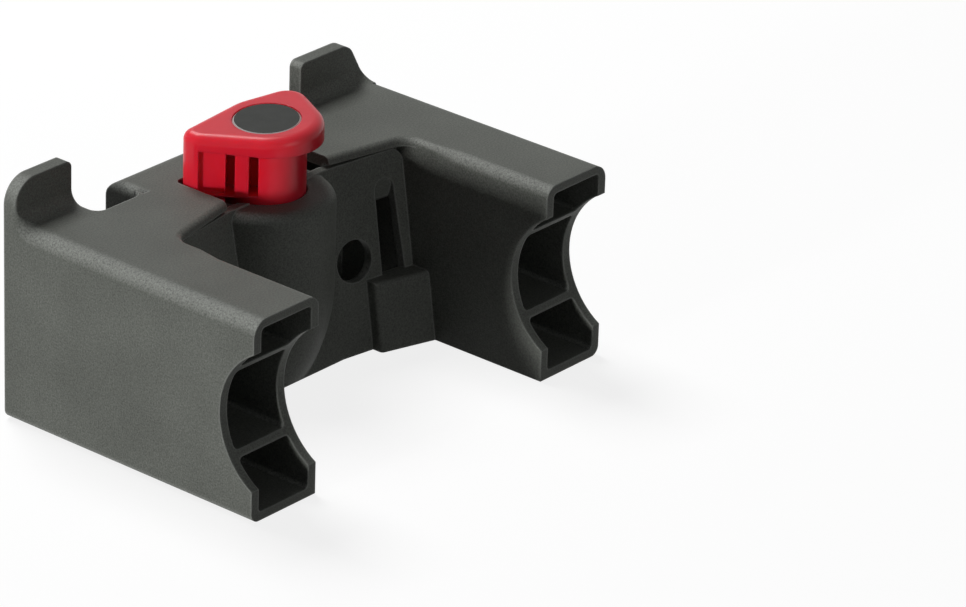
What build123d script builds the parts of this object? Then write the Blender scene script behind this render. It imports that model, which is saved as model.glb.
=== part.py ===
from build123d import *
import os
from math import asin, atan2, cos, degrees, hypot, radians, sin

os.makedirs("parts", exist_ok=True)

# Handlebar and the saddle that takes it. The origin is on the saddle's deepest line, midway along it.
# +X runs along the bar, +Y points ahead to the bag and +Z is up. A depth is measured back from
# the front face, and a height from the foot or the top of the block.
bar_diameter = 31.8
saddle_clearance = 0.5
saddle_setback = 8.0
saddle_radius = bar_diameter / 2 + saddle_clearance
bar_axis_y = -saddle_radius

# Block: two hollow arms joined at the front
block_width = 103.0
block_height = 42.0
arm_width = 18.0
arm_reach = 65.0
edge_round = 3.5
inner_round = 2.7
inner_blend = 8.0
foot_round = 2.0
edge_margin = 1.0
bottom_z = -block_height / 2
top_z = block_height / 2
arm_end_y = bar_axis_y + saddle_setback
front_y = arm_end_y + arm_reach
outer_x = block_width / 2
inner_x = outer_x - arm_width
arm_x = outer_x - arm_width / 2

# Walls of the moulding
side_wall = 2.0
top_wall = 1.8
rib_thickness = 1.3
rib_height = 8.95
front_wall = 3.0
plate_thickness = 1.7
arm_front_depth = 14.0
cell_corner = 1.0
plate_underside_z = top_z - plate_thickness
cell_width = arm_width - 2 * side_wall

# Rear wall between the arms: leans back towards the foot and splays towards the arms
wall_thickness = 1.8
wall_depth = 24.0
wall_lean = 6.2
wall_splay = 0.15
wall_flat_half = 14.0
wall_corner = 3.0
relief_height = 0.8
relief_depth = 1.4
plate_depth = 24.2
plate_splay = 0.22
plate_corner = 4.0
plate_round = 1.4
hollow_top_z = plate_underside_z - relief_height

# Button barrel
barrel_depth = 21.0
barrel_radius = 14.0
barrel_taper_height = 20.0
barrel_rim = 2.5
barrel_drop = 2.8
barrel_floor_height = 15.0
barrel_floor_thickness = 3.0
barrel_foot_bore = 7.0
barrel_y = front_y - barrel_depth
barrel_top_z = top_z - barrel_drop
barrel_foot_radius = wall_depth + wall_lean - barrel_depth
barrel_floor_z = bottom_z + barrel_floor_height
barrel_underside_z = barrel_floor_z - barrel_floor_thickness

# Push button: a drop-shaped cap on a round stem, with a thumb wing beside it. Places are from the barrel's axis.
button_travel = 5.0
button_clearance = 0.25
stem_radius = 8.0
stem_engagement = 11.3
cap_radius = 10.5
cap_place = (1.0, -0.2)
cap_rise = 12.0
cap_thickness = 4.2
cap_tilt = 4.0
cap_edge = 2.1
cap_corner = 4.5
cap_corner_place = (9.5, 3.4)
nose_x = 14.4
nose_front = 10.2
nose_corner = 2.6
nose_length = 1.4
wing_drop = 1.6
wing_gap = 0.4
groove_opening = 1.9
groove_inset = 5.0
groove_drop = 1.2
groove_places = (-6.5, -1.9)
panel_place = -10.1
panel_width = 5.2
panel_inset = 1.2
cap_top_z = top_z + cap_rise
cap_underside_z = cap_top_z - cap_thickness
stem_bottom_z = barrel_top_z - stem_engagement
wing_bottom_z = top_z - wing_drop
nose_y = barrel_y + nose_front - nose_corner
nose_places = [(-nose_x + nose_corner, nose_y), (-nose_x + nose_corner, nose_y - nose_length)]
side_run = (nose_x - nose_corner, nose_front - nose_corner - nose_length)
side_flare = asin((stem_radius - nose_corner) / hypot(*side_run))
side_angle = degrees(atan2(side_run[1], side_run[0]) + side_flare)

# Latch tooth on the button, behind a window in the front face
latch_width = 10.0
latch_height = 5.5
latch_top_depth = 6.5
latch_setback = 1.0
latch_ramp = 3.0
latch_gap = 0.4
latch_top_z = top_z - latch_top_depth
latch_bottom_z = latch_top_z - latch_height

# Badge let into the cap
badge_radius = 6.8
badge_thickness = 0.9
badge_edge = 0.35
badge_gap = 0.05

# Cut-out of the top plate around the button
cutout_half = nose_x + wing_gap
cutout_front_y = nose_y + nose_corner + wing_gap
cutout_corner = 1.5

# Retaining screw and washer under the button
retainer_radius = 2.0
retainer_grip = 8.0
retainer_head_radius = 3.8
retainer_head_height = 2.6
retainer_socket = 3.0
retainer_socket_depth = 1.5
retainer_clearance = 0.3
retainer_washer_radius = 5.5
retainer_washer_thickness = 1.0
retainer_gap = 0.15
thread_gap = 0.05
retainer_seat_z = barrel_underside_z - retainer_gap - retainer_washer_thickness

# Return spring between the barrel's floor and the stem
spring_wire = 1.0
spring_radius = 5.6
spring_turns = 5
spring_gap = 0.1

# Horns that guide the bag plate, and the grooves beside them
near_horn_width = 15.5
far_horn_width = 21.5
horn_height = 9.0
horn_thickness = 3.0
horn_foot = 3.0
horn_edge = 0.6
near_horn_corner = 5.5
far_horn_corner = 4.0
far_horn_lean = 6.9
horn_inner_corner = 1.5
groove_width = 12.7
groove_depth = 10.0
groove_corner = 2.5
groove_round = 2.5
groove_wall = 2.0
groove_floor_height = 6.0
horn_back_y = front_y - horn_thickness
horn_foot_y = horn_back_y - horn_foot
groove_back_y = front_y - groove_depth - groove_wall
near_groove_x = near_horn_width + groove_width - outer_x
far_groove_x = outer_x - far_horn_width - groove_width

# Rear wall details on each side: round eye, tapered slot and corner pad
eye_radius = 4.4
eye_x = 19.0
eye_height = 19.2
slot_width = 4.8
slot_foot_width = 5.9
slot_x = 28.2
slot_foot_x = 28.6
slot_top_height = 34.2
slot_ramp_height = 5.0
pad_inner_x = 21.5
pad_height = 14.6
pad_proud = 2.4
pad_rise = 2.2
pad_sink = 1.0
pad_round = 0.9

# Clamp screws through the front of the arms, one above the other
screw_radius = 2.5
screw_length = 40.0
screw_head_radius = 4.25
screw_head_height = 5.0
screw_socket = 4.0
screw_socket_depth = 2.5
screw_recess = 1.5
screw_clearance = 0.25
washer_radius = 5.0
washer_thickness = 1.0
washer_clearance = 0.3
screw_head_y = front_y - screw_recess - screw_head_height
screw_seat_y = screw_head_y - washer_thickness
cell_low_z = rib_height + rib_thickness / 2
cell_high_z = top_z - top_wall
screw_z = (cell_low_z + cell_high_z) / 2


def wall_y(x, z):
    """Rear face of the wall between the arms, at a distance x from the middle and a height z."""
    drop = (plate_underside_z - z) / (plate_underside_z - bottom_z)
    splay = wall_splay * max(abs(x) - wall_flat_half, 0)
    return front_y - wall_depth - wall_lean * drop - splay


def wall_line(z, shift):
    """Plan of the wall's rear face at height z from the near arm to the far one, moved ahead by shift."""
    places = (-inner_x, -wall_flat_half, wall_flat_half, inner_x)
    return [(x, wall_y(x, z) + shift) for x in places]


def rounding(y, corner_x, corner_z, side, radius):
    """Section at y of what is cut off to round an upper edge whose solid lies on the given side in X."""
    with BuildSketch(Plane.XZ.offset(-y)) as section:
        with BuildLine():
            Polyline((corner_x, corner_z - radius), (corner_x, corner_z), (corner_x + side * radius, corner_z))
            RadiusArc((corner_x + side * radius, corner_z), (corner_x, corner_z - radius), -side * radius)
        make_face()
    return section.sketch


def horn(width, lean, corner):
    """Upright tab at the far front corner, with a hollow foot behind it. Its outer end leans in and is rounded."""
    inner_edge = outer_x - width
    foot_z = top_z - edge_round
    tip_z = top_z + horn_height
    with BuildPart() as tab:
        with BuildSketch(Plane.YZ.offset(inner_edge)):
            with BuildLine():
                Polyline((horn_back_y, top_z + horn_foot), (horn_back_y, tip_z), (front_y, tip_z),
                         (front_y, foot_z), (horn_foot_y, foot_z), (horn_foot_y, top_z))
                RadiusArc((horn_foot_y, top_z), (horn_back_y, top_z + horn_foot), -horn_foot)
            make_face()
        extrude(amount=width)
        with BuildSketch(Plane.XZ.offset(-front_y)) as outline:
            with BuildLine():
                Polyline((inner_edge, foot_z), (inner_edge, tip_z), (outer_x - lean, tip_z), (outer_x, foot_z),
                         close=True)
            make_face()
            fillet(outline.vertices().group_by(Axis.Y)[-1].sort_by(Axis.X)[-1], corner)
            fillet(outline.vertices().group_by(Axis.Y)[-1].sort_by(Axis.X)[0], horn_inner_corner)
        extrude(amount=horn_thickness + horn_foot, mode=Mode.INTERSECT)
    return tab.part


def edge_section(angle, radius):
    """Section of what is cut off the far outer edge, on a plane turned about the centre line of the horn's foot."""
    turn = radians(angle)
    foot_line = Plane(origin=(outer_x, horn_foot_y, top_z + horn_foot), x_dir=(1, 0, 0),
                      z_dir=(0, cos(turn), sin(turn)))
    halfway = radius * (1 - sin(radians(45)))
    with BuildSketch(foot_line) as section:
        with BuildLine():
            ThreePointArc((0, horn_foot + radius), (-halfway, horn_foot + halfway), (-radius, horn_foot))
            Polyline((-radius, horn_foot), (-radius, horn_foot - edge_margin), (edge_margin, horn_foot - edge_margin),
                     (edge_margin, horn_foot + radius), (0, horn_foot + radius))
        make_face()
    return section.sketch


def edge_cutter():
    """What is cut off to round the far outer top edge: along the arm, up the horn's foot and up its back."""
    arm_section = edge_section(0, edge_round)
    back_section = edge_section(90, horn_edge)
    with BuildPart() as cutter:
        extrude(arm_section, amount=arm_end_y - horn_foot_y)
        loft([arm_section, edge_section(45, (edge_round + horn_edge) / 2), back_section])
        extrude(back_section, amount=horn_height)
    return cutter.part


def corner_pad():
    """Raised pad at the foot of the rear wall, in the corner with the far arm."""
    with BuildPart() as pad:
        for height in (0, pad_height):
            z = bottom_z + height
            inner_y = wall_y(pad_inner_x, z)
            outer_y = wall_y(inner_x, z)
            with BuildSketch(Plane.XY.offset(z)):
                with BuildLine():
                    Polyline((pad_inner_x, inner_y + pad_sink), (pad_inner_x, inner_y - pad_proud),
                             (inner_x + pad_sink, outer_y - pad_proud - pad_rise),
                             (inner_x + pad_sink, outer_y + pad_sink), close=True)
                make_face()
        loft(ruled=True)
        rear_edges = pad.faces().sort_by(Axis.Y)[0].edges()
        fillet(rear_edges.sort_by(Axis.X)[0:1] + rear_edges.sort_by(Axis.Z)[-1:], pad_round)
    return pad.part


def slot_ramp():
    """Slope that closes the top of the far slot, flush with the wall above and as deep as the wall below."""
    high_z = bottom_z + slot_top_height
    low_z = high_z - slot_ramp_height
    with BuildPart() as ramp:
        for x in (slot_x - slot_width / 2, slot_x + slot_width / 2):
            with BuildSketch(Plane.YZ.offset(x)):
                with BuildLine():
                    Polyline((wall_y(x, high_z), high_z), (wall_y(x, high_z) + wall_thickness, high_z),
                             (wall_y(x, low_z) + wall_thickness, low_z), close=True)
                make_face()
        loft(ruled=True)
    return ramp.part


def socket_screw(radius, length, head_radius, head_height, socket, socket_depth):
    """Socket head screw along Z, with the underside of its head at the origin and its tip below."""
    with BuildPart() as screw:
        with BuildSketch():
            Circle(head_radius)
        extrude(amount=head_height)
        fillet(screw.edges().group_by(Axis.Z)[-1], head_height / 10)
        with BuildSketch(Plane.XY.offset(head_height)):
            RegularPolygon(socket / 2, 6, major_radius=False)
        extrude(amount=-socket_depth, mode=Mode.SUBTRACT)
        with BuildSketch():
            Circle(radius)
        extrude(amount=-length)
        chamfer(screw.edges().group_by(Axis.Z)[0], radius / 4)
    return screw.part


def washer(outer_radius, hole_radius, thickness):
    """Flat ring on the XY plane."""
    with BuildPart() as ring:
        with BuildSketch():
            Circle(outer_radius)
            Circle(hole_radius, mode=Mode.SUBTRACT)
        extrude(amount=thickness)
    return ring.part


# Body: one moulding with the arms, front, top plate, rear wall, barrel and horns
near_horn = mirror(horn(near_horn_width, 0, near_horn_corner), about=Plane.YZ)
far_horn = horn(far_horn_width, far_horn_lean, far_horn_corner)
near_edge = mirror(edge_cutter(), about=Plane.YZ)
far_pad = corner_pad()
near_pad = mirror(far_pad, about=Plane.YZ)
far_ramp = slot_ramp()
near_ramp = mirror(far_ramp, about=Plane.YZ)
plate_edge_y = front_y - plate_depth
plate_end_y = plate_edge_y - plate_splay * (inner_x - wall_flat_half)
through_y = wall_y(0, plate_underside_z) + wall_thickness + pad_sink
behind_y = wall_y(inner_x, bottom_z) - pad_proud - pad_rise - pad_sink

with BuildPart() as body:
    with BuildSketch(Plane.XY.offset(bottom_z)):
        with Locations((0, front_y - arm_reach / 2)):
            Rectangle(block_width, arm_reach)
    extrude(amount=block_height)
    fillet(body.edges().filter_by(Axis.X).group_by(Axis.Z)[-1].sort_by(Axis.Y)[-1:], edge_round)
    fillet(body.edges().filter_by(Axis.Y).group_by(Axis.Z)[0], foot_round)

    # Gap between the arms: behind the leaning wall, and behind the plate above it
    for z in (bottom_z, plate_underside_z):
        with BuildSketch(Plane.XY.offset(z)):
            with BuildLine():
                Polyline((-inner_x, arm_end_y), *wall_line(z, 0), (inner_x, arm_end_y), close=True)
            make_face()
    loft(ruled=True, mode=Mode.SUBTRACT)
    with BuildSketch(Plane.XY.offset(top_z)) as plate_gap:
        with BuildLine():
            Polyline((-inner_x, arm_end_y), (-inner_x, plate_end_y), (-wall_flat_half, plate_edge_y),
                     (wall_flat_half, plate_edge_y), (inner_x, plate_end_y), (inner_x, arm_end_y), close=True)
        make_face()
        corners = plate_gap.vertices().filter_by_position(Axis.Y, plate_end_y, plate_end_y)
        fillet(corners, plate_corner)
    extrude(amount=-plate_thickness, mode=Mode.SUBTRACT)

    # Rounded inner top edge, from one arm's end round the plate to the other's, and rounder along the arms
    top_edges = body.edges().filter_by_position(Axis.Z, top_z, top_z)
    fillet(top_edges.filter_by_position(Axis.X, -inner_x, inner_x).filter_by_position(
        Axis.Y, arm_end_y, plate_edge_y), plate_round)
    blend_end_y = plate_end_y - plate_corner
    blend_start_y = blend_end_y - inner_blend
    for side in (-1, 1):
        arm_section = rounding(blend_start_y, side * inner_x, top_z, side, inner_round)
        extrude(arm_section, amount=blend_start_y - arm_end_y, mode=Mode.SUBTRACT)
        loft([arm_section, rounding(blend_end_y, side * inner_x, top_z, side, plate_round / 2)], mode=Mode.SUBTRACT)

    # Undercut line below the rear edge of the plate, which turns down round the wall's upper corners
    with BuildSketch(Plane.XY.offset(plate_underside_z)):
        with BuildLine():
            Polyline((-inner_x, arm_end_y), *wall_line(plate_underside_z, relief_depth),
                     (inner_x, arm_end_y), close=True)
        make_face()
    extrude(amount=-relief_height, mode=Mode.SUBTRACT)
    wall_corner_y = wall_y(inner_x, hollow_top_z)
    for side in (-1, 1):
        extrude(rounding(wall_corner_y + relief_depth, side * inner_x, hollow_top_z, -side, wall_corner),
                amount=relief_depth + wall_corner, mode=Mode.SUBTRACT)

    # Hollow under the plate, open at the foot, with walls left around the two front grooves
    near_step_x = near_groove_x + groove_wall
    far_step_x = far_groove_x - groove_wall
    for z in (bottom_z, hollow_top_z):
        with BuildSketch(Plane.XY.offset(z)):
            with BuildLine():
                Polyline((-inner_x, groove_back_y), (near_step_x, groove_back_y),
                         (near_step_x, front_y - front_wall), (far_step_x, front_y - front_wall),
                         (far_step_x, groove_back_y), (inner_x, groove_back_y),
                         *reversed(wall_line(z, wall_thickness)), close=True)
            make_face()
    loft(ruled=True, mode=Mode.SUBTRACT)

    # Cut-out of the plate around the button
    with BuildSketch(Plane.XY.offset(top_z)) as cutout:
        with Locations((0, (cutout_front_y + plate_end_y) / 2)):
            Rectangle(2 * cutout_half, cutout_front_y - plate_end_y)
        fillet(cutout.vertices().group_by(Axis.Y)[-1], cutout_corner)
    extrude(amount=-plate_thickness - relief_height, mode=Mode.SUBTRACT)

    # Barrel, tapering to its foot
    with BuildSketch(Plane.XZ.offset(-barrel_y)):
        with BuildLine():
            Polyline((0, bottom_z), (0, barrel_top_z), (barrel_radius - barrel_rim, barrel_top_z))
            RadiusArc((barrel_radius - barrel_rim, barrel_top_z), (barrel_radius, barrel_top_z - barrel_rim),
                      barrel_rim)
            Line((barrel_radius, barrel_top_z - barrel_rim), (barrel_radius, bottom_z + barrel_taper_height))
            TangentArc((barrel_radius, bottom_z + barrel_taper_height), (barrel_foot_radius, bottom_z),
                       tangent=(0, -1))
            Line((barrel_foot_radius, bottom_z), (0, bottom_z))
        make_face()
    revolve(axis=Axis((0, barrel_y, 0), (0, 0, 1)))

    # Pads, eyes and slots of the rear wall
    for side in (-1, 1):
        with BuildSketch(Plane.XZ.offset(-behind_y)):
            with Locations((side * eye_x, bottom_z + eye_height)):
                Circle(eye_radius)
        extrude(amount=behind_y - through_y, mode=Mode.SUBTRACT)
        slot_round_z = bottom_z + slot_top_height - slot_width / 2
        slot_foot_z = bottom_z + pad_height - pad_round
        with BuildSketch(Plane.XZ.offset(-behind_y)):
            with BuildLine():
                Polyline((side * (slot_x - slot_width / 2), slot_round_z),
                         (side * (slot_x + slot_width / 2), slot_round_z),
                         (side * (slot_foot_x + slot_foot_width / 2), slot_foot_z),
                         (side * (slot_foot_x - slot_foot_width / 2), slot_foot_z), close=True)
            make_face()
            with Locations((side * slot_x, slot_round_z)):
                Circle(slot_width / 2)
        extrude(amount=behind_y - through_y, mode=Mode.SUBTRACT)
    add([near_pad, far_pad, near_ramp, far_ramp])

    # Three cells in each arm, open at the arm's end, and the saddle across both ends
    lower_z = -cell_high_z
    cell_spans = ((lower_z, -cell_low_z), (rib_thickness / 2 - rib_height, rib_height - rib_thickness / 2),
                  (cell_low_z, cell_high_z))
    for side in (-1, 1):
        for low, high in cell_spans:
            with BuildSketch(Plane.XZ.offset(-arm_end_y)):
                with Locations((side * arm_x, (low + high) / 2)):
                    RectangleRounded(cell_width, high - low, cell_corner)
            extrude(amount=arm_front_depth - arm_reach, mode=Mode.SUBTRACT)
    with BuildSketch(Plane.YZ.offset(-outer_x)):
        with Locations((bar_axis_y, 0)):
            Circle(saddle_radius)
    extrude(amount=block_width, mode=Mode.SUBTRACT)

    # Guide grooves down the front face, rounded where they meet the top
    for groove_x in (near_groove_x - groove_width / 2, far_groove_x + groove_width / 2):
        with BuildSketch(Plane.XY.offset(bottom_z + groove_floor_height)) as groove:
            with Locations((groove_x, front_y - groove_depth / 2)):
                Rectangle(groove_width, groove_depth)
            fillet(groove.vertices().group_by(Axis.Y)[0], groove_corner)
        extrude(until=Until.LAST, mode=Mode.SUBTRACT)
    for corner_x, side in ((near_groove_x, 1), (far_groove_x, -1)):
        extrude(rounding(front_y, corner_x, top_z, side, groove_round), amount=groove_depth, mode=Mode.SUBTRACT)

    # Horns, and the rounded outer top edges: the near one runs up its horn, and the far horn stands on its own
    extrude(rounding(front_y, outer_x, top_z, -1, edge_round), amount=arm_reach, mode=Mode.SUBTRACT)
    add([near_horn, far_horn])
    add(near_edge, mode=Mode.SUBTRACT)

    # Space in the barrel that the wing sinks into
    wing_floor_z = wing_bottom_z - button_travel - wing_gap
    with BuildSketch(Plane.XY.offset(wing_floor_z)):
        with Locations((0, barrel_y)):
            Circle(stem_radius + button_clearance)
        with Locations(*nose_places):
            Circle(nose_corner + wing_gap)
        make_hull()
    extrude(amount=top_z - wing_floor_z, mode=Mode.SUBTRACT)

    # Bore for the stem, floor with the retainer's hole, and the open foot below it
    with BuildSketch(Plane.XY.offset(barrel_floor_z)):
        with Locations((0, barrel_y)):
            Circle(stem_radius + button_clearance)
    extrude(amount=top_z - barrel_floor_z, mode=Mode.SUBTRACT)
    with BuildSketch(Plane.XY.offset(bottom_z)):
        with Locations((0, barrel_y)):
            Circle(barrel_foot_bore)
    extrude(amount=barrel_underside_z - bottom_z, mode=Mode.SUBTRACT)
    with BuildSketch(Plane.XY.offset(barrel_underside_z)):
        with Locations((0, barrel_y)):
            Circle(retainer_radius + retainer_clearance)
    extrude(amount=barrel_floor_thickness, mode=Mode.SUBTRACT)

    # Window for the latch tooth, through the barrel and the front wall
    window_low_z = latch_bottom_z - button_travel - latch_gap
    window_high_z = latch_top_z + latch_gap
    with BuildSketch(Plane.XZ.offset(-front_y)):
        with Locations((0, (window_low_z + window_high_z) / 2)):
            Rectangle(latch_width + 2 * latch_gap, window_high_z - window_low_z)
    extrude(amount=barrel_depth, mode=Mode.SUBTRACT)

    # Stepped holes of the clamp screws, from the front face into the upper and lower cells
    for side in (-1, 1):
        for z in (-screw_z, screw_z):
            with BuildSketch(Plane.XZ.offset(-front_y)):
                with Locations((side * arm_x, z)):
                    Circle(washer_radius + washer_clearance)
            extrude(amount=front_y - screw_seat_y, mode=Mode.SUBTRACT)
            with BuildSketch(Plane.XZ.offset(-screw_seat_y)):
                with Locations((side * arm_x, z)):
                    Circle(screw_radius + screw_clearance)
            extrude(amount=arm_front_depth, mode=Mode.SUBTRACT)
body.part.label = "body"
export_step(body.part, "parts/body.step")

# Push button: cap, wing, stem and latch tooth in one moulding
cap_plane = Plane(origin=(0, barrel_y, cap_top_z), x_dir=(cos(radians(cap_tilt)), 0, sin(radians(cap_tilt))),
                  z_dir=(-sin(radians(cap_tilt)), 0, cos(radians(cap_tilt))))
with BuildPart() as push_button:
    with BuildSketch(Plane.XY.offset(cap_underside_z)):
        with Locations((cap_place[0], barrel_y + cap_place[1])):
            Circle(cap_radius)
        with Locations((cap_corner_place[0], barrel_y + cap_corner_place[1])):
            Circle(cap_corner)
        with Locations(*nose_places):
            Circle(nose_corner)
        make_hull()
    extrude(amount=2 * cap_thickness)
    split(bisect_by=cap_plane, keep=Keep.BOTTOM)
    fillet(push_button.faces().sort_by(Axis.Z)[-1].edges(), cap_edge)
    with BuildSketch(Plane.XY.offset(wing_bottom_z)):
        with Locations((0, barrel_y)):
            Circle(stem_radius)
        with Locations(*nose_places):
            Circle(nose_corner)
        make_hull()
    extrude(amount=cap_underside_z - wing_bottom_z)
    groove_bottom_z = top_z - groove_drop
    side_plane = Plane(origin=(0, barrel_y, groove_bottom_z),
                       x_dir=(cos(radians(side_angle)), -sin(radians(side_angle)), 0), z_dir=(0, 0, 1))
    for place, opening, inset in [(p, groove_opening, groove_inset) for p in groove_places] + [
            (panel_place, panel_width, panel_inset)]:
        with BuildSketch(side_plane):
            with Locations((place, -stem_radius)):
                Rectangle(opening, 2 * inset)
        extrude(amount=cap_underside_z - groove_bottom_z, mode=Mode.SUBTRACT)
    with BuildSketch(Plane.XY.offset(stem_bottom_z)):
        with Locations((0, barrel_y)):
            Circle(stem_radius)
    extrude(amount=wing_bottom_z - stem_bottom_z)
    latch_tip_y = front_y - latch_setback
    with BuildSketch(Plane.YZ.offset(-latch_width / 2)):
        with BuildLine():
            Polyline((barrel_y, latch_bottom_z), (barrel_y, latch_top_z), (latch_tip_y - latch_ramp, latch_top_z),
                     (latch_tip_y, latch_top_z - latch_ramp), (latch_tip_y, latch_bottom_z), close=True)
        make_face()
    extrude(amount=latch_width)
    with BuildSketch(Plane.XY.offset(stem_bottom_z)):
        with Locations((0, barrel_y)):
            Circle(retainer_radius + thread_gap)
    extrude(amount=retainer_grip + thread_gap, mode=Mode.SUBTRACT)
    with BuildSketch(cap_plane):
        Circle(badge_radius + badge_gap)
    extrude(amount=-badge_thickness, mode=Mode.SUBTRACT)
push_button.part.label = "push_button"
export_step(push_button.part, "parts/push_button.step")

# Badge: a plain bevelled disc, flush with the cap
with BuildPart() as button_badge:
    with BuildSketch(cap_plane.offset(-badge_thickness)):
        Circle(badge_radius)
    extrude(amount=badge_thickness)
    chamfer(button_badge.faces().sort_by(Axis.Z)[-1].edges(), badge_edge)
button_badge.part.label = "button_badge"
export_step(button_badge.part, "parts/button_badge.step")

# Retaining screw from below, with its washer under the barrel's floor
retainer_length = stem_bottom_z + retainer_grip - retainer_seat_z
retainer_blank = socket_screw(retainer_radius, retainer_length, retainer_head_radius, retainer_head_height,
                              retainer_socket, retainer_socket_depth)
with BuildPart() as retaining_screw:
    add(retainer_blank.moved(Location((0, barrel_y, retainer_seat_z), (180, 0, 0))))
retaining_screw.part.label = "retaining_screw"
export_step(retaining_screw.part, "parts/retaining_screw.step")
with BuildPart() as retaining_washer:
    add(washer(retainer_washer_radius, retainer_radius + thread_gap,
               retainer_washer_thickness).moved(Location((0, barrel_y, retainer_seat_z))))
retaining_washer.part.label = "retaining_washer"
export_step(retaining_washer.part, "parts/retaining_washer.step")

# Return spring, wound round the retaining screw
spring_rise = stem_bottom_z - barrel_floor_z - 2 * spring_gap - spring_wire
spring_foot = (0, barrel_y, barrel_floor_z + spring_gap + spring_wire / 2)
with BuildPart() as return_spring:
    with BuildLine(Plane(spring_foot)) as coil:
        Helix(spring_rise / spring_turns, spring_rise, spring_radius)
    with BuildSketch(Plane(coil.line @ 0, z_dir=coil.line % 0)):
        Circle(spring_wire / 2)
    sweep()
return_spring.part.label = "return_spring"
export_step(return_spring.part, "parts/return_spring.step")

# Four clamp screws with washers, heads to the front
screw_blank = socket_screw(screw_radius, screw_length, screw_head_radius, screw_head_height,
                           screw_socket, screw_socket_depth)
washer_blank = washer(washer_radius, screw_radius + screw_clearance, washer_thickness)
for across, side in (("near", -1), ("far", 1)):
    for level, z in (("upper", screw_z), ("lower", -screw_z)):
        with BuildPart() as clamp_screw:
            add(screw_blank.moved(Location((side * arm_x, screw_head_y, z), (-90, 0, 0))))
        clamp_screw.part.label = f"{across}_{level}_clamp_screw"
        export_step(clamp_screw.part, f"parts/{across}_{level}_clamp_screw.step")
        with BuildPart() as screw_washer:
            add(washer_blank.moved(Location((side * arm_x, screw_seat_y, z), (-90, 0, 0))))
        screw_washer.part.label = f"{across}_{level}_screw_washer"
        export_step(screw_washer.part, f"parts/{across}_{level}_screw_washer.step")
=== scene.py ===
from math import cos, pi, radians, sin

import bpy
from mathutils import Matrix, Vector


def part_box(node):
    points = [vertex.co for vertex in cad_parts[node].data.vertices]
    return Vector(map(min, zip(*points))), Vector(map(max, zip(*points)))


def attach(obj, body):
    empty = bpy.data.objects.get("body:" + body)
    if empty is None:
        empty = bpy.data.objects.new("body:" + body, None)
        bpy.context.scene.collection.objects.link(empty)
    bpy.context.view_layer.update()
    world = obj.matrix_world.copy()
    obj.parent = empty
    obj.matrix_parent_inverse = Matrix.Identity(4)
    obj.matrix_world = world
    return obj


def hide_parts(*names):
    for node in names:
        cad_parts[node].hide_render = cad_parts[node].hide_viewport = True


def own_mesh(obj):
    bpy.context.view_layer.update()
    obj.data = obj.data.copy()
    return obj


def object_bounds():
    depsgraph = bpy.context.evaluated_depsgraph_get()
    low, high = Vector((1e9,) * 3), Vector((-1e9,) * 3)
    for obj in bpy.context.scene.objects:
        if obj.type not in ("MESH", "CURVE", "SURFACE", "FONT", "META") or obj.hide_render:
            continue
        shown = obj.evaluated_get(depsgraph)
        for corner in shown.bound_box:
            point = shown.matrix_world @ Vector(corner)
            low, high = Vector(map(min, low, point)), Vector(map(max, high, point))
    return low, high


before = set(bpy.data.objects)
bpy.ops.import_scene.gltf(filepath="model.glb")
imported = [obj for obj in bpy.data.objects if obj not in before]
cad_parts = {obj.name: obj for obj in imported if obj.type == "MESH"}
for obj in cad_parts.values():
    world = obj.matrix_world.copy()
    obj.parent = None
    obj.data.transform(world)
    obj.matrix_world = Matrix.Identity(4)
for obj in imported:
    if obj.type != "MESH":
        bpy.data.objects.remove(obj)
cad_low, cad_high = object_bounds()


# Housing: one injection moulding of glass-filled nylon, dark grey, with arms, barrel, rear wall and horns.
# The mould is spark eroded, so every face has a fine even grain, and the ribs' edges are rubbed a little pale,
# with painted highlight added on them, and the long roundings that look sideways and up have a painted
# highlight.
def finish_tree(name):
    """New finish: its material, the material's tree and the shader that the tree ends in."""
    material = bpy.data.materials.new(name)
    material.use_nodes = True
    tree = material.node_tree
    return material, tree, tree.nodes["Principled BSDF"]


def wire(tree, start, out, end, into):
    """Leads one node's output into another's input."""
    tree.links.new(start.outputs[out], end.inputs[into])


def object_place(tree):
    """The piece's own coordinates and normals."""
    return tree.nodes.new("ShaderNodeTexCoord")


def speckle(tree, place, size_mm, detail=2.0, roughness=0.5):
    """Noise whose blotches are about this many millimetres across."""
    blotches_per_metre = 1000 / size_mm
    noise = tree.nodes.new("ShaderNodeTexNoise")
    noise.inputs["Scale"].default_value = blotches_per_metre
    noise.inputs["Detail"].default_value = detail
    noise.inputs["Roughness"].default_value = roughness
    wire(tree, place, "Object", noise, "Vector")
    return noise


def ramp(tree, source, out, start, end, low=0.0, high=1.0):
    """Maps a value's start and end on to low and high."""
    scale = tree.nodes.new("ShaderNodeMapRange")
    scale.inputs["From Min"].default_value = start
    scale.inputs["From Max"].default_value = end
    scale.inputs["To Min"].default_value = low
    scale.inputs["To Max"].default_value = high
    wire(tree, source, out, scale, "Value")
    return scale


def span(tree, noise, low, high):
    """Maps the middle of a noise, where most of it lies, on to low and high."""
    middle_start, middle_end = 0.3, 0.7
    return ramp(tree, noise, "Fac", middle_start, middle_end, low, high)


def combine(tree, operation, first, first_out, second, second_out):
    """One value from two."""
    result = tree.nodes.new("ShaderNodeMath")
    result.operation = operation
    wire(tree, first, first_out, result, 0)
    wire(tree, second, second_out, result, 1)
    return result


first_colour, second_colour, mixed_colour = 6, 7, 2


def tint(tree, factor, out, dark, pale):
    """Mix of two colours by a factor."""
    mix = tree.nodes.new("ShaderNodeMix")
    mix.data_type = "RGBA"
    mix.inputs[first_colour].default_value = (*dark, 1)
    mix.inputs[second_colour].default_value = (*pale, 1)
    wire(tree, factor, out, mix, "Factor")
    return mix


def soft_edge(tree, radius_mm):
    """Normal that turns smoothly over a sharp edge."""
    bevel = tree.nodes.new("ShaderNodeBevel")
    bevel.samples = 4
    bevel.inputs["Radius"].default_value = radius_mm / 1000
    return bevel


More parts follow.
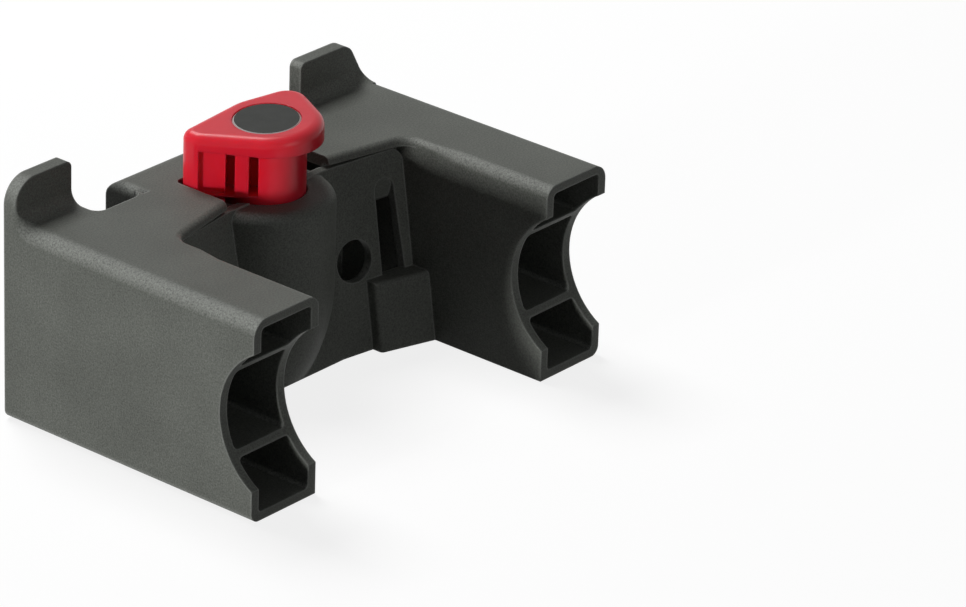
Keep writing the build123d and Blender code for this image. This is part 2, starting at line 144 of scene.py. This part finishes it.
def edge_mask(tree, bevel, gain):
    """Mask that is 1 along edges, where the rounded normal leaves the flat one."""
    flat = tree.nodes.new("ShaderNodeNewGeometry")
    likeness = tree.nodes.new("ShaderNodeVectorMath")
    likeness.operation = "DOT_PRODUCT"
    wire(tree, flat, "Normal", likeness, 0)
    wire(tree, bevel, "Normal", likeness, 1)
    return ramp(tree, likeness, "Value", 1.0, 1.0 - 1.0 / gain)


def facing(tree, place):
    """The way that a face looks, split along the piece's axes."""
    axes = tree.nodes.new("ShaderNodeSeparateXYZ")
    wire(tree, place, "Normal", axes, "Vector")
    return axes


def rounding_highlight_mask(tree, place, amount):
    """Mask of a painted highlight on the long roundings, whose faces look both sideways and up."""
    slight_slant, full_slant = 0.15, 0.5
    axes = facing(tree, place)
    slant = combine(tree, "MULTIPLY", axes, "X", axes, "Z")
    either_side = tree.nodes.new("ShaderNodeMath")
    either_side.operation = "ABSOLUTE"
    wire(tree, slant, "Value", either_side, 0)
    return ramp(tree, either_side, "Value", slight_slant, full_slant, high=amount)


def relief(tree, shader, bevel, noise, depth_mm, strength):
    """Bump of a noise over the rounded normal."""
    bump = tree.nodes.new("ShaderNodeBump")
    bump.inputs["Strength"].default_value = strength
    bump.inputs["Distance"].default_value = depth_mm / 1000
    wire(tree, noise, "Fac", bump, "Height")
    wire(tree, bevel, "Normal", bump, "Normal")
    wire(tree, bump, "Normal", shader, "Normal")


def grained_nylon():
    nylon_dark, nylon_pale = (0.100, 0.105, 0.094), (0.142, 0.149, 0.134)
    grain_shade, grain_light = (0.66, 0.66, 0.66), (1.34, 1.34, 1.34)
    rubbed_and_highlit = (0.30, 0.31, 0.29)
    material, tree, shader = finish_tree("grained_nylon")
    place = object_place(tree)
    grain = speckle(tree, place, size_mm=0.35, detail=3.0, roughness=0.6)
    flow = speckle(tree, place, size_mm=14.0)
    clouds = tint(tree, span(tree, flow, low=0.25, high=0.75), "Result", nylon_dark, nylon_pale)
    grains = tint(tree, span(tree, grain, low=0.0, high=1.0), "Result", grain_shade, grain_light)
    speckled = tree.nodes.new("ShaderNodeMix")
    speckled.data_type = "RGBA"
    speckled.blend_type = "MULTIPLY"
    speckled.inputs["Factor"].default_value = 1.0
    wire(tree, clouds, mixed_colour, speckled, first_colour)
    wire(tree, grains, mixed_colour, speckled, second_colour)
    bevel = soft_edge(tree, radius_mm=0.6)
    # Painted highlight: the long roundings, patchy with the grain, are mixed towards the pale colour.
    rounding_highlight = rounding_highlight_mask(tree, place, amount=0.42)
    patches = span(tree, grain, low=0.3, high=1.7)
    patchy_highlight = combine(tree, "MULTIPLY", rounding_highlight, "Result", patches, "Result")
    # The edges' pale colour is partly real rubbing and partly painted highlight.
    rub_and_highlight = combine(tree, "MAXIMUM", edge_mask(tree, bevel, gain=7.0), "Result", patchy_highlight, "Value")
    edge_lightened = tint(tree, rub_and_highlight, "Value", nylon_dark, rubbed_and_highlit)
    wire(tree, speckled, mixed_colour, edge_lightened, first_colour)
    wire(tree, edge_lightened, mixed_colour, shader, "Base Color")
    wire(tree, span(tree, grain, low=0.46, high=0.62), "Result", shader, "Roughness")
    relief(tree, shader, bevel, grain, depth_mm=0.08, strength=0.7)
    shader.inputs["IOR"].default_value = 1.5
    shader.inputs["Specular IOR Level"].default_value = 0.12
    return material


def dress(node, material):
    """Gives a solid its finish."""
    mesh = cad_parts[node].data
    mesh.materials.clear()
    mesh.materials.append(material)


dress("body", grained_nylon())


# Push button: one glossy red moulding, cap, wing, stem and latch tooth, from a polished mould.
# It slides down in the barrel on the spring and is held from below by the retaining screw.
def polished_red():
    red_deep, red_clear = (0.64, 0.011, 0.028), (0.72, 0.015, 0.035)
    material, tree, shader = finish_tree("polished_red")
    place = object_place(tree)
    flow = speckle(tree, place, size_mm=9.0)
    ripple = speckle(tree, place, size_mm=1.6)
    clouds = tint(tree, span(tree, flow, low=0.0, high=1.0), "Result", red_deep, red_clear)
    bevel = soft_edge(tree, radius_mm=0.3)
    wire(tree, clouds, mixed_colour, shader, "Base Color")
    wire(tree, span(tree, ripple, low=0.29, high=0.36), "Result", shader, "Roughness")
    relief(tree, shader, bevel, ripple, depth_mm=0.02, strength=0.15)
    shader.inputs["IOR"].default_value = 1.5
    shader.inputs["Subsurface Weight"].default_value = 0.5
    shader.inputs["Subsurface Radius"].default_value = (1.0, 0.1, 0.1)
    shader.inputs["Subsurface Scale"].default_value = 0.006
    shader.inputs["Specular IOR Level"].default_value = 0.32
    return material


dress("push_button", polished_red())


# Badge: a plain round disc of dark satin plastic, pressed into the seat in the button's cap.
# Its face is bare, and its bevelled rim is painted bright as a highlight.
def badge_satin():
    badge_dark, badge_pale, rim_highlight = (0.016, 0.018, 0.015), (0.024, 0.026, 0.023), (0.55, 0.55, 0.53)
    face_level, rim_slope = 0.95, 0.85
    material, tree, shader = finish_tree("badge_satin")
    place = object_place(tree)
    flow = speckle(tree, place, size_mm=3.0)
    fine = speckle(tree, place, size_mm=0.3)
    clouds = tint(tree, span(tree, flow, low=0.0, high=1.0), "Result", badge_dark, badge_pale)
    bevel = soft_edge(tree, radius_mm=0.12)
    # Painted highlight: the sloped rim, found by how far its faces tilt from straight up, is tinted bright.
    rim_highlight_mask = ramp(tree, facing(tree, place), "Z", face_level, rim_slope)
    highlit = tint(tree, rim_highlight_mask, "Result", badge_dark, rim_highlight)
    wire(tree, clouds, mixed_colour, highlit, first_colour)
    wire(tree, highlit, mixed_colour, shader, "Base Color")
    wire(tree, span(tree, fine, low=0.30, high=0.42), "Result", shader, "Roughness")
    relief(tree, shader, bevel, fine, depth_mm=0.01, strength=0.2)
    shader.inputs["Specular IOR Level"].default_value = 0.15
    return material


dress("button_badge", badge_satin())


# Screws: steel socket screws, cold headed and blackened, with the edges rubbed bright.
# Two go into the front of each arm, and one comes up through the barrel's floor and holds the button.
def blackened_steel():
    oxide_dark, oxide_pale, bare_steel = (0.018, 0.018, 0.020), (0.045, 0.045, 0.048), (0.30, 0.30, 0.30)
    material, tree, shader = finish_tree("blackened_steel")
    place = object_place(tree)
    patches = speckle(tree, place, size_mm=2.0, detail=3.0)
    fine = speckle(tree, place, size_mm=0.2)
    clouds = tint(tree, span(tree, patches, low=0.0, high=1.0), "Result", oxide_dark, oxide_pale)
    bevel = soft_edge(tree, radius_mm=0.15)
    edge_lightened = tint(tree, edge_mask(tree, bevel, gain=3.0), "Result", oxide_dark, bare_steel)
    wire(tree, clouds, mixed_colour, edge_lightened, first_colour)
    wire(tree, edge_lightened, mixed_colour, shader, "Base Color")
    wire(tree, span(tree, patches, low=0.34, high=0.5), "Result", shader, "Roughness")
    relief(tree, shader, bevel, fine, depth_mm=0.01, strength=0.25)
    shader.inputs["Metallic"].default_value = 0.85
    return material


oxide = blackened_steel()
screw_places = [f"{across}_{level}" for across in ("near", "far") for level in ("upper", "lower")]
for screw_place in screw_places:
    dress(f"{screw_place}_clamp_screw", oxide)
dress("retaining_screw", oxide)


# Washers: stamped from bright steel sheet and zinc plated.
# One lies under the head of each screw in the arms, and one under the barrel's floor on the retaining screw.
def plated_steel():
    zinc_dark, zinc_pale = (0.40, 0.40, 0.39), (0.56, 0.56, 0.54)
    material, tree, shader = finish_tree("plated_steel")
    place = object_place(tree)
    spangle = speckle(tree, place, size_mm=1.2, detail=3.0)
    fine = speckle(tree, place, size_mm=0.15)
    clouds = tint(tree, span(tree, spangle, low=0.0, high=1.0), "Result", zinc_dark, zinc_pale)
    bevel = soft_edge(tree, radius_mm=0.1)
    wire(tree, clouds, mixed_colour, shader, "Base Color")
    wire(tree, span(tree, spangle, low=0.29, high=0.42), "Result", shader, "Roughness")
    relief(tree, shader, bevel, fine, depth_mm=0.008, strength=0.2)
    shader.inputs["Metallic"].default_value = 1.0
    return material


zinc = plated_steel()
for screw_place in screw_places:
    dress(f"{screw_place}_screw_washer", zinc)
dress("retaining_washer", zinc)


# Return spring: five turns of drawn steel wire, zinc plated, wound round the retaining screw.
# It stands on the barrel's floor under the button's stem, and its turns close up as the button goes down.
wire_thickness, coil_turns, points_per_turn = 0.001, 5, 32
coil_low, coil_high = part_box("return_spring")
coil_height = coil_high.z - coil_low.z
coil_radius = (coil_high.x - coil_low.x - wire_thickness) / 2
coil_foot = Vector((
    (coil_low.x + coil_high.x) / 2,
    (coil_low.y + coil_high.y) / 2,
    coil_low.z + wire_thickness / 2))
wound = bpy.data.curves.new("wound_wire", "CURVE")
wound.dimensions = "3D"
wound.bevel_depth = wire_thickness / 2
wound.bevel_resolution = 3
wound.use_fill_caps = True
run = wound.splines.new("POLY")
steps = coil_turns * points_per_turn
run.points.add(steps)
for step, point in enumerate(run.points):
    angle = 2 * pi * step / points_per_turn
    rise = (coil_height - wire_thickness) * step / steps
    point.co = (*(coil_foot + Vector((coil_radius * cos(angle), coil_radius * sin(angle), rise))), 1)
winding = bpy.data.objects.new("wound_wire", wound)
coil_mesh = bpy.data.meshes.new_from_object(winding)
bpy.data.objects.remove(winding)
coil_mesh.materials.clear()
coil_mesh.materials.append(zinc)
coil_mesh.polygons.foreach_set("use_smooth", [True] * len(coil_mesh.polygons))
return_coil = bpy.data.objects.new("return_coil", coil_mesh)
bpy.context.scene.collection.objects.link(return_coil)
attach(return_coil, "mount")
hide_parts("return_spring")
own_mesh(return_coil)


# Studio floor: a wide sheet of white paper that the mount stands on, with a faint soft shadow.
# It lies a hair under the mount's underside, and is white to the eye without more light on the mount.
def seen_white(tree):
    """1 for what the eye sees, straight on, in gloss or through something clear."""
    path = tree.nodes.new("ShaderNodeLightPath")
    straight_or_gloss = combine(tree, "MAXIMUM", path, "Is Camera Ray", path, "Is Glossy Ray")
    return combine(tree, "MAXIMUM", straight_or_gloss, "Value", path, "Is Transmission Ray")


def white_sheet():
    paper_grey, paper_glow = (0.22, 0.22, 0.22), 0.83
    material, tree, shader = finish_tree("white_sheet")
    shader.inputs["Base Color"].default_value = (*paper_grey, 1)
    shader.inputs["Roughness"].default_value = 0.9
    shader.inputs["Specular IOR Level"].default_value = 0.0
    share = tree.nodes.new("ShaderNodeMath")
    share.operation = "MULTIPLY"
    share.inputs[1].default_value = paper_glow
    wire(tree, seen_white(tree), "Value", share, 0)
    paper = tree.nodes.new("ShaderNodeEmission")
    wire(tree, share, "Value", paper, "Strength")
    sheet_look = tree.nodes.new("ShaderNodeAddShader")
    wire(tree, shader, "BSDF", sheet_look, 0)
    wire(tree, paper, "Emission", sheet_look, 1)
    wire(tree, sheet_look, "Shader", tree.nodes["Material Output"], "Surface")
    return material


floor_half, floor_gap = 3.0, 0.0002
floor_z = cad_low.z - floor_gap
sheet = bpy.data.meshes.new("studio_floor")
corners = [(-floor_half, -floor_half, floor_z), (floor_half, -floor_half, floor_z),
           (floor_half, floor_half, floor_z), (-floor_half, floor_half, floor_z)]
sheet.from_pydata(corners, [], [(0, 1, 2, 3)])
sheet.materials.append(white_sheet())
studio_floor = bpy.data.objects.new("studio_floor", sheet)
bpy.context.scene.collection.objects.link(studio_floor)


# Studio light: three square soft boxes, a large one above the front for the tops, a weak one behind, and a small
# one low on the left for the near arm's side and the button, kept out of the gloss so that it can't glare.
# The room is dim, and white to the eye and in gloss.
def soft_box(name, direction, distance, size, power):
    lamp = bpy.data.lights.new(name, "AREA")
    lamp.shape = "SQUARE"
    lamp.size = size
    lamp.energy = power
    box = bpy.data.objects.new(name, lamp)
    towards = Vector(direction).normalized()
    box.location = (cad_low + cad_high) / 2 + towards * distance
    box.rotation_euler = (-towards).to_track_quat("-Z", "Y").to_euler()
    bpy.context.scene.collection.objects.link(box)
    return box


lamp_distance = 1.4
soft_box("top_box", direction=(0.10, 0.50, 0.86), distance=lamp_distance, size=0.6, power=14.8)
left_box = soft_box("left_box", direction=(-1.0, 0.0, 0.05), distance=lamp_distance, size=0.14, power=14.5)
left_box.visible_glossy = False
soft_box("rear_box", direction=(-0.10, -0.95, 0.30), distance=lamp_distance, size=0.5, power=1.8)

dim_blue, dim_strength, white_strength = (0.9, 0.95, 1.0), 0.03, 1.0
room = bpy.data.worlds.new("room")
room.use_nodes = True
room_tree = room.node_tree
dim = room_tree.nodes["Background"]
dim.inputs["Color"].default_value = (*dim_blue, 1)
dim.inputs["Strength"].default_value = dim_strength
white = room_tree.nodes.new("ShaderNodeBackground")
white.inputs["Strength"].default_value = white_strength
blend = room_tree.nodes.new("ShaderNodeMixShader")
wire(room_tree, seen_white(room_tree), "Value", blend, "Fac")
wire(room_tree, dim, "Background", blend, 1)
wire(room_tree, white, "Background", blend, 2)
wire(room_tree, blend, "Shader", room_tree.nodes["World Output"], "Surface")
bpy.context.scene.world = room
bpy.context.scene.view_settings.view_transform = "Standard"


# Camera: a long lens a little above the mount, on the saddles' side and to the left, over a metre away.
# It is rolled by a degree, and the mount stands left of the picture's middle.
image_width, image_height = 966.0, 607.0
focal_pixels = 5818.8
azimuth, elevation, roll = radians(-48.613), radians(25.156), radians(1.162)
aim, aim_pixel = Vector((0, 0.0226, 0.0005)), (313.353, 289.078)
distance = 1.1409
back = Vector((sin(azimuth) * cos(elevation), -cos(azimuth) * cos(elevation), sin(elevation)))
level_right = Vector((cos(azimuth), sin(azimuth), 0))
level_up = back.cross(level_right)
right = cos(roll) * level_right + sin(roll) * level_up
up = cos(roll) * level_up - sin(roll) * level_right
offset_right = (image_width / 2 - aim_pixel[0]) / focal_pixels
offset_up = (aim_pixel[1] - image_height / 2) / focal_pixels
look = (right * offset_right + up * offset_up - back).normalized()
camera_right = look.cross(up).normalized()
camera_up = camera_right.cross(look)
lens = bpy.data.cameras.new("long_lens")
lens.sensor_width = 36.0
lens.lens = lens.sensor_width * focal_pixels / image_width
lens.clip_start, lens.clip_end = 0.05, 50.0
camera = bpy.data.objects.new("long_lens", lens)
turn = Matrix((camera_right, camera_up, -look)).transposed().to_4x4()
camera.matrix_world = Matrix.Translation(aim + back * distance) @ turn
bpy.context.scene.collection.objects.link(camera)
bpy.context.scene.camera = camera
